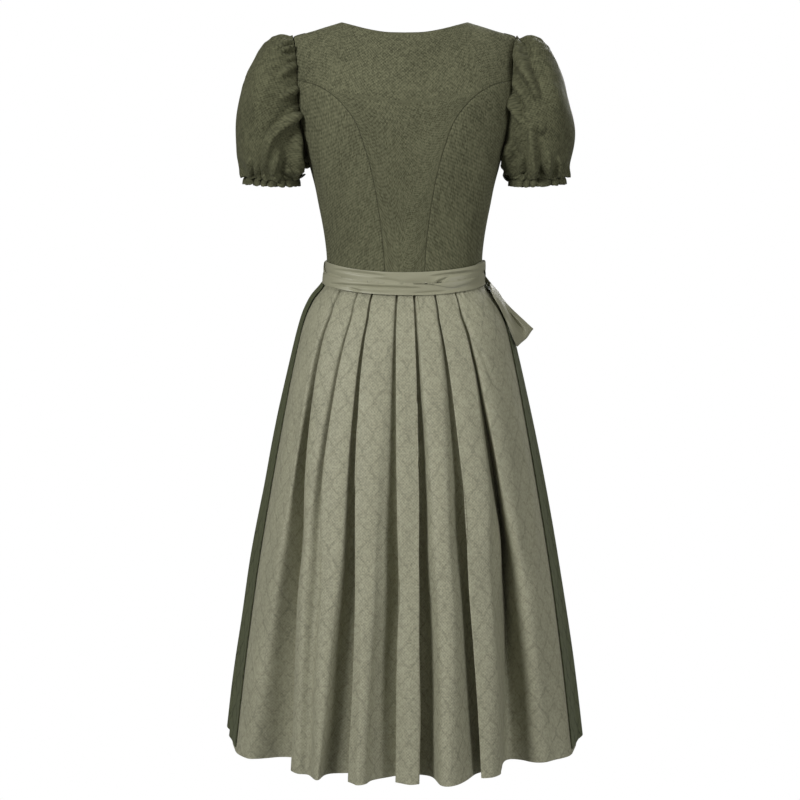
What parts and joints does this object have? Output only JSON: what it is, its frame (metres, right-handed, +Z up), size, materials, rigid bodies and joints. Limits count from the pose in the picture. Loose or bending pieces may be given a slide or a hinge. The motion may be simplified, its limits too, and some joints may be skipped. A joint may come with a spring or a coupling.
{
  "type": "dirndl dress",
  "caption": "Worn-shape dirndl dress: fitted dark heather bodice with puff sleeves, light pleated skirt, dark apron tied with a satin ribbon and bow.",
  "frame": {"origin": "midway between the wearer's shoulders, level with the back neckline", "axes": "+X to the wearer's right, +Y out of the wearer's front, +Z up"},
  "size_m": [0.594, 0.5667, 1.1775],
  "materials": {
    "bodice_cloth": "matte heathered twill",
    "skirt_jacquard": "soft jacquard with a tone-on-tone lattice",
    "apron_jacquard": "soft dark jacquard with a tone-on-tone lattice",
    "ribbon_satin": "satin",
    "button_horn": "smooth horn"
  },
  "bodies": {
    "root": {"back_centre": "bodice_cloth", "back_side_left": "bodice_cloth", "back_side_right": "bodice_cloth", "front_centre_left": "bodice_cloth", "front_centre_right": "bodice_cloth", "front_side_left": "bodice_cloth", "front_side_right": "bodice_cloth", "button_strip": "bodice_cloth", "sleeve_left": "bodice_cloth", "sleeve_right": "bodice_cloth", "cuff_left": "bodice_cloth", "cuff_right": "bodice_cloth", "skirt_back": "skirt_jacquard", "skirt_front": "skirt_jacquard", "apron": "apron_jacquard", "apron_waistband": "ribbon_satin", "tie_left": "ribbon_satin", "tie_right": "ribbon_satin", "bow_knot": "ribbon_satin", "bow_loop_side": "ribbon_satin", "bow_loop_front": "ribbon_satin", "bow_tail_side": "ribbon_satin", "bow_tail_front": "ribbon_satin", "button_1": "button_horn", "button_2": "button_horn", "button_3": "button_horn", "button_4": "button_horn", "button_5": "button_horn", "button_6": "button_horn"}
  },
  "joints": []
}
